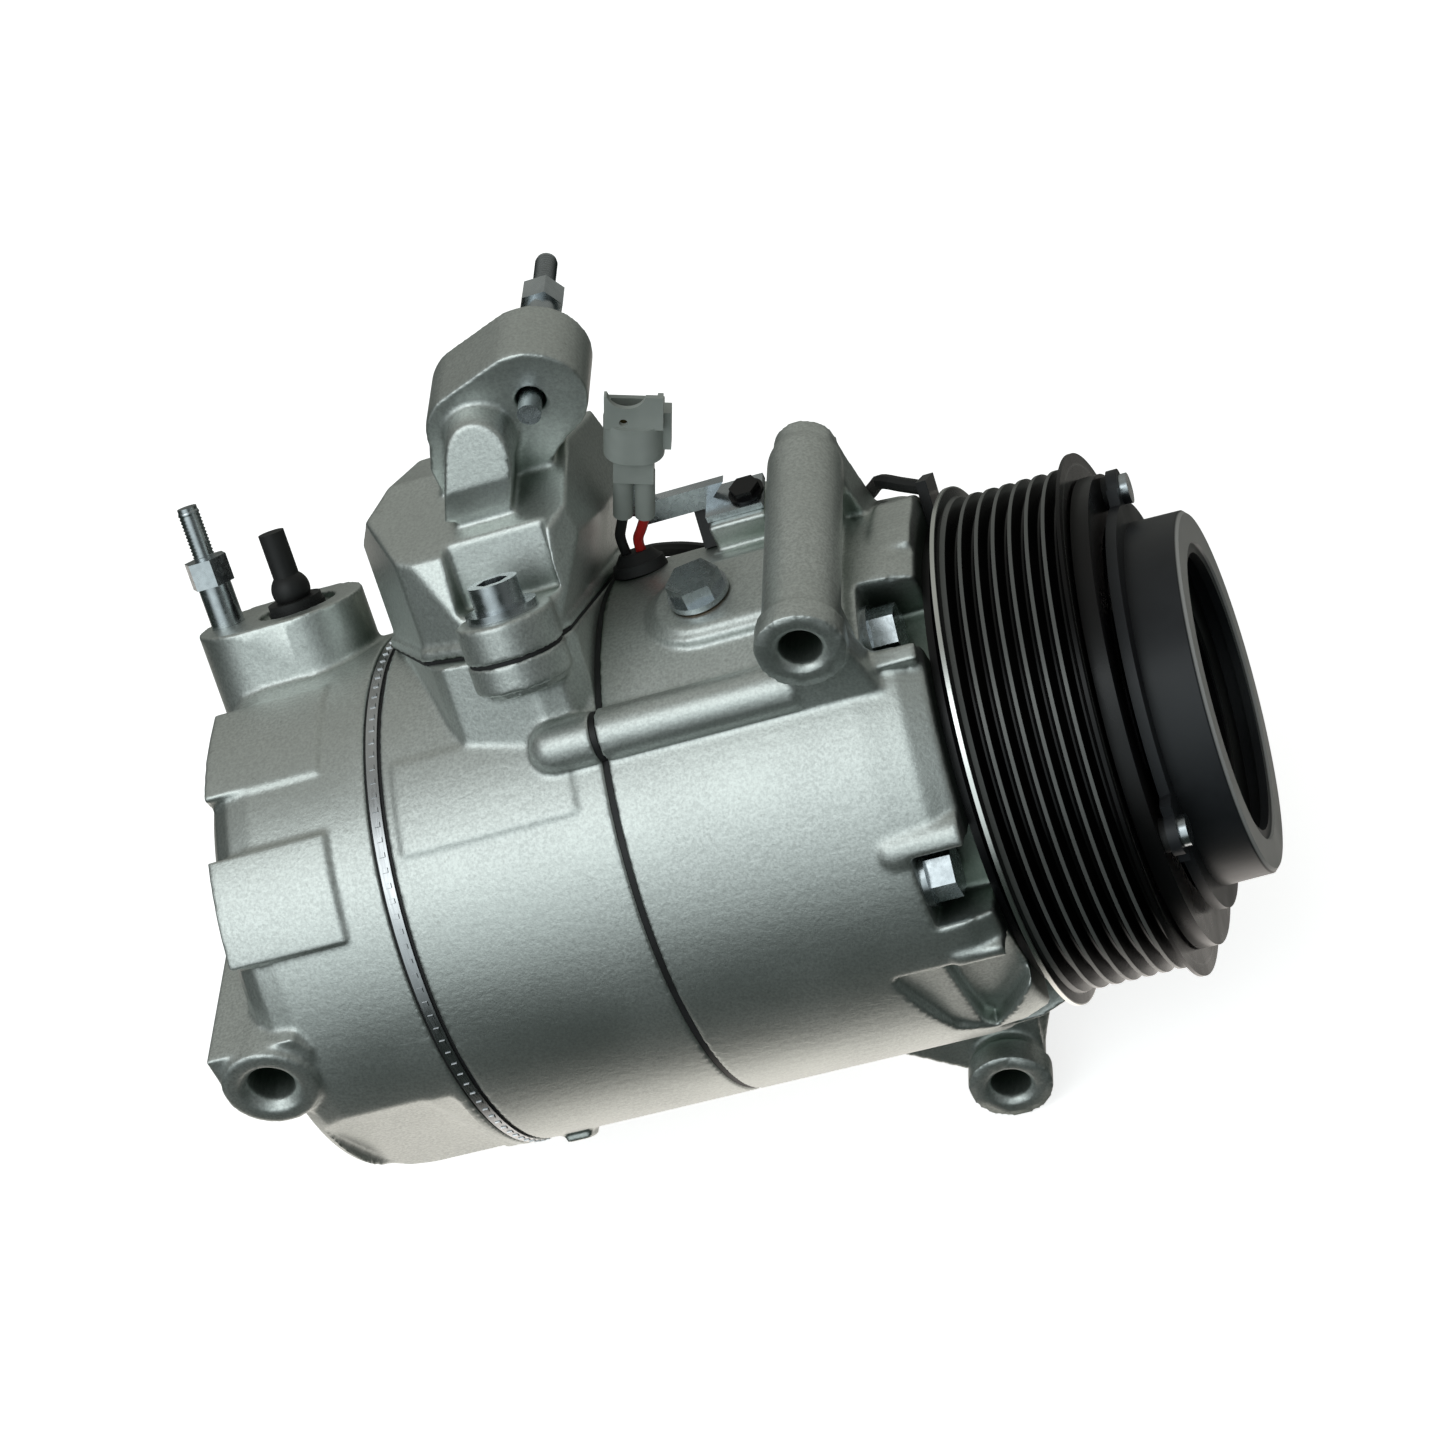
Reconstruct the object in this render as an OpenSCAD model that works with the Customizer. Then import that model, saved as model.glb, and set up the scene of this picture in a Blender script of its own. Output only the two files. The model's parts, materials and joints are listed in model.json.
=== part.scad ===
// Variable-stroke swash-plate air-conditioning compressor with a seven-groove clutch pulley.
// Millimetres. The shaft lies along X and its clutch end points to +X.
// The origin is on the shaft axis, in the middle plane of the belt grooves.
// Turned directions are measured from +Z towards -Y, about the shaft.

/* [Main sizes] */
// Outer radius of the housing barrel
barrel_r = 58.2; // [54:0.1:62]
// Front joint face of the cylinder block
block_front_x = -86; // [-92:0.1:-82]
// Rear face of the cylinder block
block_rear_x = -135.9; // [-142:0.1:-130]
// Rear end of the rear head
rear_end_x = -179.5; // [-186:0.5:-172]
// Radius of the circle the cylinder bores lie on
bore_pitch_r = 35; // [33:0.5:37]
// Radius of each cylinder bore
bore_r = 14.5; // [13:0.1:15]
// Direction of the first cylinder bore
bore_start = -16; // [-30:1:30]

/* [Pulley and clutch] */
// Tip radius of the belt ribs
rib_tip_r = 54.1; // [50:0.1:58]
// Radius of the two pulley flanges
flange_r = 56.7; // [53:0.1:60]
// Pitch of the belt grooves, as on a PK belt
groove_pitch = 3.56; // [3.5:0.01:3.6]
// Depth of each groove
groove_depth = 2.9; // [2:0.1:3.5]
// Air gap between the pulley face and the armature plate
air_gap = 0.5; // [0.3:0.05:0.8]
// Outer radius of the clutch cup
cup_r = 38.9; // [36:0.1:42]
// Front face of the clutch cup
cup_front_x = 33.1; // [30:0.1:36]
// Radius of the opening in the cup
cup_open_r = 30; // [26:0.5:31]

/* [Mounting lugs] */
// Station of the two front lugs along the shaft
lug_x = -38; // [-42:0.5:-34]
// Height of each front lug axis above or below the shaft
lug_z = 66.6; // [62:0.1:70]
// Clearance bore radius of the front lugs
lug_bore_r = 4.4; // [3.2:0.1:5.5]
// Half length of the lug tubes
lug_half = 33; // [28:0.5:38]
// Radius of the threaded hole in the rear boss
rear_bore_r = 5; // [3:0.1:6]

/* [Ports] */
// Direction that the rear port and the tower joint face
port_turn = -26; // [-45:1:0]
// Height of the rear port face along its direction
rear_port_s = 70.5; // [66:0.5:76]
// Radius of both port bores
port_r = 6.5; // [5:0.1:8]

/* [Swash plate] */
// Plate position at minimum stroke
plate_x = -78; // [-82:0.5:-74]
// Half thickness of the plate rim
plate_half = 4; // [3:0.1:5]
// Plate radius
plate_r = 43.5; // [42:0.1:44]

/* [View] */
// Which node to draw

/* [Hidden] */
$fn = 64;
bolt_start = bore_start + 30;
bolt_pitch_r = 50;
joint_s = 57.5;
tower_s = joint_s + 0.8;
tower_q = 46;
tower_bolt_x = -98;
tower_far = [-117, 25];
rear_port_x = -158;
rear_stud_x = -174.5;
tower_port = [-96.5, 100.5];
tower_stud = [-83.6, 105.1];
tower_face_y = 38;
conn_lean = 21.8;
slot_half = 9.6;
spring_turns = 6.5;
spring_steps = 18;
hinge_turn = 44;
shoe_r = 9;
ear_start = -38.8;
ear_pitch_r = 46.5;
alu = [0.72, 0.73, 0.71];
dark = [0.1, 0.1, 0.11];
steel = [0.62, 0.63, 0.65];
spring_steel = [0.5, 0.52, 0.56];
zinc = [0.78, 0.8, 0.82];
rubber = [0.06, 0.06, 0.06];

// routes of the lead and its two wires, from end to end
black_route = [
  [-76.1, 25, 73.1], [-78.3, 25, 68.1], [-80, 25.3, 65], [-81.6, 25.9, 61.6], [-82.2, 26.2, 55.7]
];
red_route = [[-72, 25, 71.4], [-74.1, 25, 66.3], [-76.2, 25.3, 63], [-78.2, 25.9, 60], [-79, 26.2, 55.7]];
lead_route = [
  [-80.4, 29.3, 52.9], [-80, 35.8, 48.6], [-77, 44.6, 40.6], [-71, 50.5, 33.2], [-64.2, 46.7, 39.1],
  [-56, 50.5, 33.2], [-46, 51.1, 32.4], [-38, 48.7, 35.8], [-31, 40.6, 45], [-26.5, 33.2, 52.1],
  [-22, 30.6, 51.9], [-17.95, 29.3, 50.7]
];

// ---------- helpers ----------

// cylinder along the shaft direction
module xcyl(x0, x1, r) {
  translate([x0, 0, 0]) rotate([0, 90, 0]) cylinder(h = x1 - x0, r = r);
}

// the same, moved out by d in direction a
module pcyl(a, d, x0, x1, r) {
  rotate([a, 0, 0]) translate([x0, 0, d]) rotate([0, 90, 0]) cylinder(h = x1 - x0, r = r);
}

// hexagon along the shaft direction
module phex(a, d, x0, x1, r) {
  rotate([a, 0, 0]) translate([x0, 0, d]) rotate([0, 90, 0]) cylinder(h = x1 - x0, r = r, $fn = 6);
}

module tube_x(x0, x1, ro, ri) {
  difference() {
    xcyl(x0, x1, ro);
    xcyl(x0 - 1, x1 + 1, ri);
  }
}

// box that reaches from radius r0 to r1 in direction a
module pbox(a, x0, x1, w, r0, r1) {
  rotate([a, 0, 0]) translate([x0, -w / 2, r0]) cube([x1 - x0, w, r1 - r0]);
}

// wedge of the shaft circle between two directions
module wedge(a0, a1, x0, x1, r) {
  rotate([a0, 0, 0]) translate([x0, 0, 0]) rotate([0, 90, 0]) rotate([0, 0, 180])
    rotate_extrude(angle = a1 - a0) square([r, x1 - x0]);
}

// solid of revolution about the shaft from [radius, station] points
module turned(points) {
  rotate([0, 90, 0]) rotate_extrude() polygon(points);
}

// outline drawn on the barrel in direction a, as [x, distance round], cut or raised from r0 to r1
module pad_on(a, r0, r1, points) {
  rotate([a, 0, 0]) translate([0, 0, r0]) linear_extrude(r1 - r0)
    polygon([for (p = points) [p[0], -p[1]]]);
}

// outline in the XZ plane, from y0 to y1
module upright(y0, y1, points) {
  translate([0, y1, 0]) rotate([90, 0, 0]) linear_extrude(y1 - y0) polygon(points);
}

// cylinder along Y
module ycyl(x, z, y0, y1, r) {
  translate([x, y0, z]) rotate([-90, 0, 0]) cylinder(h = y1 - y0, r = r);
}

// smooth route through the points, with k steps between neighbours
function at(p, i) = p[max(0, min(len(p) - 1, i))];
function between(a, b, c, d, t) = 0.5 * (
  2 * b + (c - a) * t + (2 * a - 5 * b + 4 * c - d) * t * t + (3 * b - a - 3 * c + d) * t * t * t
);
function smooth_route(p, k) = concat(
  [for (i = [0:len(p) - 2], j = [0:k - 1]) between(at(p, i - 1), p[i], p[i + 1], at(p, i + 2), j / k)],
  [p[len(p) - 1]]
);

// round tube swept along a route; side is a direction the route never takes
function unit(v) = v / norm(v);
function along(p, i) = unit(at(p, i + 1) - at(p, i - 1));
function ring(p, i, r, n, side) =
  let (u = unit(cross(side, along(p, i))), v = cross(along(p, i), u))
  [for (j = [0:n - 1]) p[i] + r * (cos(360 * j / n) * u + sin(360 * j / n) * v)];
module sweep(p, r, n, side) {
  last = len(p) - 1;
  polyhedron(
    points = [for (i = [0:last]) each ring(p, i, r, n, side)],
    faces = concat(
      [[for (j = [0:n - 1]) j]],
      [for (i = [0:last - 1], j = [0:n - 1])
        [i * n + j, (i + 1) * n + j, (i + 1) * n + (j + 1) % n, i * n + (j + 1) % n]],
      [[for (j = [n - 1:-1:0]) last * n + j]]
    )
  );
}

// children placed in the frame of the rear port and the tower joint
// local axes: X along the shaft, -Y towards the near side, Z along the port direction
module port_frame() {
  rotate([port_turn, 0, 0]) children();
}

// round-ended plate along X in the local XY plane
module racetrack(x0, x1, y, r, h) {
  linear_extrude(h) union() {
    translate([x0, y]) circle(r);
    translate([x1, y]) circle(r);
    translate([x0, y - r]) square([x1 - x0, 2 * r]);
  }
}

// ---------- rear head and valve plate stack ----------

module bolt_holes(x0, x1, r) {
  for (i = [0:5]) pcyl(bolt_start + 60 * i, bolt_pitch_r, x0, x1, r);
}

module rear_head() color(alu) difference() {
  union() {
    turned([
      [0, rear_end_x], [44, rear_end_x], [50, rear_end_x + 1], [54.5, rear_end_x + 3.6],
      [57.2, rear_end_x + 7.5], [barrel_r, rear_end_x + 13], [barrel_r, -139.6], [0, -139.6]
    ]);
    // raised casting panels
    intersection() {
      tube_x(-176.5, -149.5, barrel_r + 0.9, 50);
      wedge(31, 54, -177, -149.5, 62);
    }
    intersection() {
      tube_x(-176.5, -150, barrel_r + 0.6, 50);
      wedge(-8, 17, -177, -150, 62);
    }
    // port block
    port_frame() translate([0, 0, 44]) racetrack(-167.5, -156.5, 2, 13.5, rear_port_s - 44);
    port_frame() translate([-176, -6, 40]) cube([30, 16, 22]);
    // mounting boss and its block
    ycyl(-177.2, 10, -59.2, -30, 10.5);
    upright(-57, -22, [
      [-187.8, 6], [-187.8, 20], [-167.5, 20.5], [-165.5, 16], [-166, 3], [-171, -1], [-182, -1]
    ]);
  }
  // flats on the lower near side
  rotate([119, 0, 0]) translate([-174, -40, 52.9]) cube([26, 80, 20]);
  rotate([117, 0, 0]) translate([-148.01, -40, 54]) cube([6, 80, 20]);
  // discharge chamber, a ring, and suction chamber in the middle
  tube_x(-150, -139, 46.5, 36.8);
  xcyl(-166, -139, 34.2);
  // way out to the drilling in the block
  pbox(port_turn, -143, -139, 6, 44, 53.5);
  // passage from the rear port
  port_frame() translate([rear_port_x, 2, 30]) cylinder(h = 60, r = port_r);
  port_frame() translate([rear_port_x, 2, rear_port_s - 2]) cylinder(h = 5, r = port_r + 2.2);
  port_frame() translate([rear_stud_x, 2, 58]) cylinder(h = 20, r = 2.6);
  // mounting hole, blind
  ycyl(-177.2, 10, -70, -40, rear_bore_r);
  translate([-177.2, -59.21, 10]) rotate([-90, 0, 0])
    cylinder(h = 1.9, r1 = rear_bore_r + 1.9, r2 = rear_bore_r);
  // control valve bore from below
  rotate([224, 0, 0]) translate([-158, 0, 20]) cylinder(h = 60, r = 8.05);
  // relief valve seat
  rotate([-76, 0, 0]) translate([-145.4, 0, 44]) cylinder(h = 30, r = 4.05);
  bolt_holes(-160, -139, 2.9);
}

module plate_stack(x0, x1, r) {
  difference() {
    xcyl(x0, x1, r);
    bolt_holes(x0 - 1, x1 + 1, 3.3);
    pcyl(port_turn, 50.5, x0 - 1, x1 + 1, 2.6);
    for (i = [0:5]) {
      pcyl(bore_start + 60 * i, 30, x0 - 1, x1 + 1, 3);
      pcyl(bore_start + 60 * i, 41, x0 - 1, x1 + 1, 3);
    }
  }
}

module head_gasket() color(dark) difference() {
  xcyl(-139.6, -139, barrel_r - 0.5);
  xcyl(-141, -138, 46.5);
  bolt_holes(-141, -138, 3.3);
  pcyl(port_turn, 50.5, -141, -138, 2.6);
}

// ring with a round pad over each discharge hole
module reed_ring(x0, x1, pad) {
  tube_x(x0, x1, 46, 43.2);
  for (i = [0:5]) pcyl(bore_start + 60 * i, 41.2, x0, x1, pad);
}

module reed_retainer() color(steel) reed_ring(-141, -139.4, 4.2);

module discharge_reeds() color(spring_steel) reed_ring(-139.3, -139.02, 4);

module valve_plate() color([0.66, 0.66, 0.64]) plate_stack(-139, -136.5, barrel_r);

module suction_reeds() color(spring_steel) difference() {
  xcyl(-136.48, -136.22, 51);
  bolt_holes(-138, -135, 3.4);
  pcyl(port_turn, 50.5, -138, -135, 2.6);
  for (i = [0:5]) rotate([bore_start + 60 * i, 0, 0]) translate([-138, 0, 0]) {
    translate([0, -7, 24]) cube([3, 1, 20]);
    translate([0, 6, 24]) cube([3, 1, 20]);
    translate([0, -7, 24]) cube([3, 14, 1]);
    translate([0, 0, 41]) rotate([0, 90, 0]) cylinder(h = 3, r = 3);
  }
}

module block_gasket() color(dark) difference() {
  xcyl(-136.5, -135.9, barrel_r - 0.5);
  xcyl(-138, -135, 51.2);
  bolt_holes(-138, -135, 3.3);
}

// ---------- cylinder block ----------

module block_bores(x0, x1, r) {
  for (i = [0:5]) pcyl(bore_start + 60 * i, bore_pitch_r, x0, x1, r);
}

module cylinder_block() color(alu) difference() {
  union() {
    xcyl(block_rear_x, block_front_x - 0.02, barrel_r);
    // pad under the tower
    port_frame() translate([0, 0, 20]) linear_extrude(joint_s - 20) polygon([
      [-134.5, -10], [-119, -39], [-116, -42.5], [-97, -46], [-91, -44], [-87.2, -38],
      [-87.2, 18], [-128, 18], [-134.5, 8]
    ]);
    port_frame() translate([tower_bolt_x, -tower_q, 51.5]) cylinder(h = joint_s - 51.5, r = 10.4);
    port_frame() translate([tower_bolt_x, -tower_q + 2, 49.5]) cylinder(h = 2.1, r = 8.4);
    port_frame() translate([tower_far[0], tower_far[1], 40]) cylinder(h = joint_s - 40, r = 8.5);
    // passage ridge along the barrel
    pcyl(26, 58.6, -96.5, block_front_x - 0.02, 5.6);
    rotate([26, 0, 0]) translate([-96.5, 0, 58.6]) sphere(r = 5.6);
    // edge of the core print
    intersection() {
      tube_x(-133, -94.5, barrel_r + 0.5, 50);
      wedge(20, 40, -133, -94.5, 64);
    }
    // small cast tab below
    intersection() {
      tube_x(-133, -127, 60.2, 50);
      wedge(136, 143, -134, -126, 64);
    }
  }
  // flat under the tower
  port_frame() translate([-135.2, -46, joint_s]) cube([48, 72, 12]);
  block_bores(-140, -80, bore_r);
  // shaft bore with the bearing seats
  xcyl(-128, -80, 10.2);
  xcyl(-118, -80, 13);
  xcyl(-104, -80, 17);
  bolt_holes(-140, -80, 3.2);
  // passage from the valve plate up to the tower
  pcyl(port_turn, 50.5, -137, -112, 2.6);
  port_frame() translate([-115, 0, 50]) cylinder(h = 20, r = 2.6);
  port_frame() translate([tower_bolt_x, -tower_q, 51.2]) cylinder(h = 30, r = 2.7);
  port_frame() translate([tower_far[0], tower_far[1], 43.5]) cylinder(h = 30, r = 2.7);
  // groove for the joint seal
  tube_x(-87.3, -85, barrel_r + 7, 56.4);
}

module housing_seal() color(dark) union() {
  tube_x(-87.25, -86.05, 57.8, 56.5);
  intersection() {
    pcyl(26, 58.6, -87.25, -86.05, 5.3);
    tube_x(-88, -86, 65, 57);
  }
}

// ---------- front housing ----------

// lug tube with a plain ring on the near side; sz is 1 for the upper lug and -1 for the lower
module lug(sz) {
  ycyl(lug_x, sz * lug_z, 5 - lug_half, lug_half - 8, 8);
  translate([lug_x, lug_half - 8, sz * lug_z]) sphere(r = 8);
  ycyl(lug_x, sz * lug_z, -lug_half, 6 - lug_half, 9.3);
  ycyl(lug_x, sz * lug_z, lug_half - 8.5, lug_half, 6.8);
}

module front_housing() color(alu) difference() {
  union() {
    turned([
      [0, -86], [barrel_r, -86], [barrel_r, -33], [barrel_r - 0.6, -24], [55.6, -18.2], [54.8, -18],
      [20, -18], [20, 8.5], [0, 8.5]
    ]);
    // upper lug, its web, the fin at its far end and the cross rib
    lug(1);
    upright(-24, 26, [
      [-45, 40], [-45, 67], [-33.5, 67], [-33.5, 40]
    ]);
    upright(-33.5 + 3, -20, [
      [-43.7, 40], [-43.7, 66], [-30.6, 66], [-25, 40]
    ]);
    upright(21, 31, [
      [-34.5, 50], [-34.5, 72.5], [-31.4, 70.5], [-28.4, 50]
    ]);
    // lower lug and its web
    lug(-1);
    upright(-24, 26, [
      [-66, -54], [-45, -70], [-38, -73.6], [-30.5, -68], [-27, -50], [-40, -40], [-60, -40]
    ]);
    upright(-20, 26, [
      [-30, -68], [-22, -50], [-40, -46]
    ]);
    // passage ridge
    pcyl(26, 58.6, -85.9, lug_x - 6, 5.6);
    // pad of the oil plug, in two steps
    rotate([-1, 0, 0]) translate([-63, 0, 50]) cylinder(h = 10.3, r = 10.5);
    rotate([-1, 0, 0]) translate([-63, -10.5, 50]) cube([19, 21, 10.3]);
    rotate([-1, 0, 0]) translate([-63, 0, 50]) cylinder(h = 9.1, r = 12.4);
    rotate([-1, 0, 0]) translate([-63, -12.4, 50]) cube([19, 24.8, 9.1]);
    // ear on the far side
    translate([-27, 0, 0]) rotate([90, 0, 90]) linear_extrude(8.6) polygon([
      [4, 40], [4, 57.6], [10, 57.4], [21.5, 55], [25.2, 52.6], [34.8, 41], [30.5, 37], [22, 38]
    ]);
    // ribs beside the bolt pockets
    rotate([25.6, 0, 0]) translate([-29, -2, 50]) cube([10.4, 4, 9.4]);
    pcyl(64, 54, -33, -18.4, 5.3);
    rotate([64, 0, 0]) translate([-33, 0, 54]) sphere(r = 5.3);
    rotate([91.6, 0, 0]) translate([-29, -1.6, 50]) cube([10.4, 3.2, 8.7]);
    // bracket pad on the far side
    translate([-62, 22, 40]) cube([13, 12, 20.5]);
  }
  // crank chamber
  xcyl(-90, -34, 52.5);
  // bolt drillings and pockets, open to the front
  bolt_holes(-90, -20, 3.3);
  for (i = [0:5]) pbox(bolt_start + 60 * i, -30, -17, 17, 43.2, 70);
  // cast recess on the near side
  pad_on(106, 55.2, 70, [[-43, -13], [-17, -13], [-17, 1], [-30, 18], [-37, 12]]);
  pad_on(106, 51, 70, [[-32, -12.4], [-17, -13], [-17, 1], [-30, 18], [-32, 15]]);
  // bearing, seal and shaft bores
  xcyl(-35, -22, 14);
  xcyl(-23, 12, 13);
  tube_x(-12.9, -11.5, 13.6, 12);
  // circlip grooves of the coil and the pulley bearing
  tube_x(-16.4, -15.1, 22, 19.2);
  tube_x(6.6, 7.8, 22, 19);
  // oil plug hole
  rotate([-1, 0, 0]) translate([-63, 0, 44]) cylinder(h = 20, r = 5);
  // bracket screw
  translate([-52.8, 28.5, 51]) cylinder(h = 12, r = 2.55);
  // passage in the ridge
  pcyl(26, 58.6, -87, -47, 2.4);
  // lug bores
  for (s = [-1, 1]) {
    ycyl(lug_x, s * lug_z, -lug_half - 1, lug_half + 1, lug_bore_r);
    translate([lug_x, -lug_half - 0.01, s * lug_z]) rotate([-90, 0, 0])
      cylinder(h = 1.2, r1 = lug_bore_r + 1.2, r2 = lug_bore_r);
  }
}

module through_bolts() color(zinc) for (i = [0:5]) {
  pcyl(bolt_start + 60 * i, bolt_pitch_r, -155, -28.9, 2.85);
  pcyl(bolt_start + 60 * i, bolt_pitch_r, -29.98, -28.6, 6.6);
  phex(bolt_start + 60 * i, bolt_pitch_r, -28.7, -23.2, 5.7);
}

module control_valve() color([0.55, 0.5, 0.35]) rotate([224, 0, 0]) translate([-158, 0, 0]) {
  translate([0, 0, 26]) cylinder(h = 33, r = 7.9);
  translate([0, 0, 22]) cylinder(h = 5, r = 5);
  translate([0, 0, 58.3]) cylinder(h = 3, r = 9.4);
}

module relief_valve() color([0.7, 0.58, 0.3]) rotate([-76, 0, 0]) translate([-145.4, 0, 0]) {
  translate([0, 0, 49]) cylinder(h = 12, r = 3.9);
  translate([0, 0, 58.6]) cylinder(h = 5, r = 6.4, $fn = 6);
  translate([0, 0, 63.5]) cylinder(h = 3, r = 3);
}

module oil_plug() color(zinc) rotate([-1, 0, 0]) translate([-63, 0, 0]) {
  translate([0, 0, 52]) cylinder(h = 9, r = 4.9);
  translate([0, 0, 60.84]) cylinder(h = 1.3, r = 6.6);
  rotate([0, 0, 12]) translate([0, 0, 62.1]) cylinder(h = 3.4, r = 5.9, $fn = 6);
}

module oil_plug_washer() color([0.72, 0.5, 0.3]) rotate([-1, 0, 0]) translate([-63, 0, 60.34]) difference() {
  cylinder(h = 0.46, r = 6);
  translate([0, 0, -1]) cylinder(h = 3, r = 5.05);
}

// ---------- discharge tower ----------

module tower_block_2d() {
  translate(tower_port) circle(11.7);
  translate(tower_stud) circle(11.8);
  polygon([
    [-100.4, 111.5], [-87.6, 116.2], [-79.6, 94], [-88.2, 87], [-92, 80], [-111.5, 80], [-110.6, 95],
    [-107.9, 102]
  ]);
}

module tower_foot_2d(d) {
  polygon([
    [-135 - d, 8], [-135 - d, -11 - d], [-121.5, -35 - d], [-107, -42 - d], [-89, -42 - d],
    [-87.8 + d, -38], [-87.8 + d, 18.2 + d], [-127, 18.2 + d]
  ]);
  translate([tower_bolt_x, -tower_q]) circle(9.9 + d);
  translate(tower_far) circle(8 + d);
  translate([-125, 14]) square([16, 11 + d]);
}

module discharge_tower() color(alu) difference() {
  union() {
    port_frame() {
      intersection() {
        translate([0, 0, tower_s]) linear_extrude(40) polygon([
          [-134.6, 18], [-134.6, -10], [-121, -34], [-107, -41], [-89, -41], [-82, -30], [-82, 18]
        ]);
        upright(-60, 60, [
          [-134.6, 58.3], [-134.6, 81.5], [-124, 92.2], [-83, 92.5], [-82, 75], [-88.5, 60.5],
          [-88.5, 58.3]
        ]);
        translate([-150, 0, 0]) rotate([90, 0, 90]) linear_extrude(90) polygon([
          [-41.5, 58.3], [-36, 79], [-12, 92.5], [12, 92.5], [18, 84], [18, 58.3]
        ]);
      }
      // flange with its bolt bosses
      translate([0, 0, tower_s]) linear_extrude(2.2) tower_foot_2d(0.5);
      translate([tower_bolt_x, -tower_q, tower_s]) cylinder(h = 7.7, r = 10.4);
      translate([tower_far[0], tower_far[1], tower_s]) cylinder(h = 7.7, r = 8.5);
      translate([-125.5, 14, tower_s]) cube([17, 11, 7.7]);
    }
    // port block on top
    translate([0, tower_face_y, 0]) rotate([90, 0, 0]) linear_extrude(17) tower_block_2d();
    // arched boss over the passage
    translate([tower_port[0], 9.6, tower_port[1]]) rotate([-90, 0, 0]) cylinder(h = 12, r1 = 6.4, r2 = 7.8);
    translate([tower_port[0], 9.6, tower_port[1]]) rotate([0, 22.7, 0]) translate([-7, 0, -15])
      cube([14, 12, 15]);
  }
  port_frame() {
    // pocket over the near bolt
    translate([-109.5, -60, joint_s + 8.5]) cube([22, 26.5, 40]);
    translate([tower_bolt_x, -tower_q, 50]) cylinder(h = 30, r = 3.2);
    translate([tower_far[0], tower_far[1], 50]) cylinder(h = 30, r = 3.2);
    // room over the far bolt
    translate([tower_far[0], tower_far[1], joint_s + 8.5]) cylinder(h = 30, r = 8.6);
    // muffler chamber
    translate([-118, -30, 50]) cube([27, 16, 26]);
    translate([-127, -14.5, 50]) cube([36, 27.5, 36]);
  }
  // port bore, its seal seat and the passage down
  ycyl(tower_port[0], tower_port[1], 24, 50, port_r);
  ycyl(tower_port[0], tower_port[1], 36, 41, port_r + 1.6);
  translate([tower_port[0], 28, tower_port[1]]) rotate([0, 202.7, 0]) cylinder(h = 22, r = 4);
  // stud hole right through
  ycyl(tower_stud[0], tower_stud[1], 12, 52, 3.1);
}

module tower_gasket() color(dark) port_frame() difference() {
  translate([0, 0, joint_s + 0.02]) linear_extrude(0.76) tower_foot_2d(0);
  translate([-118, -30, 50]) cube([27, 16, 20]);
  translate([-127, -14.5, 50]) cube([36, 27.5, 20]);
  translate([tower_bolt_x, -tower_q, 50]) cylinder(h = 30, r = 3.2);
  translate([tower_far[0], tower_far[1], 50]) cylinder(h = 30, r = 3.2);
}

module flange_bolt(from) {
  translate([0, 0, from]) cylinder(h = 67 - from, r = 2.6);
  translate([0, 0, 66.02]) cylinder(h = 1.6, r = 7.6);
  difference() {
    translate([0, 0, 67.5]) cylinder(h = 5.6, r = 5.3);
    rotate([0, 0, 15]) translate([0, 0, 69.5]) cylinder(h = 4, r = 3.4, $fn = 6);
  }
}

module tower_bolts() color(zinc) port_frame() {
  translate([tower_bolt_x, -tower_q, 0]) flange_bolt(51.6);
  translate([tower_far[0], tower_far[1], 0]) flange_bolt(44);
}

// stud with a hexagon spacer, standing along local Z on the face at z = 0
module port_stud(back, shank, tip) {
  translate([0, 0, -back]) cylinder(h = back + 0.5, r = 2.5);
  translate([0, 0, 0.02]) cylinder(h = shank, r = 3.7);
  translate([0, 0, shank]) cylinder(h = 6, r = 5, $fn = 6);
  translate([0, 0, shank + 5.9]) cylinder(h = tip, r = 2.2);
}

module port_studs() color(zinc) {
  translate([tower_stud[0], tower_face_y, tower_stud[1]]) rotate([-90, 0, 0]) port_stud(22, 14, 12);
  port_frame() translate([rear_stud_x, 2, rear_port_s]) port_stud(11, 9.5, 12);
}

module rear_port_plug() color(rubber) port_frame() translate([rear_port_x, 2, 0]) {
  translate([0, 0, 56]) cylinder(h = rear_port_s - 55.9, r = port_r - 0.15);
  translate([0, 0, rear_port_s + 0.02]) cylinder(h = 1.6, r = 6);
  translate([0, 0, rear_port_s + 3.8]) sphere(r = 4.3);
  translate([0, 0, rear_port_s + 4]) cylinder(h = 13, r = 2.9);
}

// ---------- lead, connector and bracket ----------

module lead_boot() color(rubber) rotate([-25.4, 0, 0]) translate([-80.4, 0, 0]) {
  translate([0, 0, 58.25]) cylinder(h = 2.2, r1 = 6, r2 = 5.6);
  translate([0, 0, 60.4]) cylinder(h = 2.2, r1 = 5.2, r2 = 3.6);
}

module coil_lead() color(rubber) sweep(smooth_route(lead_route, 4), 1.6, 8, [0, 0, 1]);

module wire_black() color(rubber) sweep(smooth_route(black_route, 4), 1.15, 8, [0, 1, 0]);

module wire_red() color([0.75, 0.05, 0.04]) sweep(smooth_route(red_route, 4), 1.15, 8, [0, 1, 0]);

module conn_frame() {
  translate([-76.2, 25, 67.2]) rotate([0, conn_lean, 0]) children();
}

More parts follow.
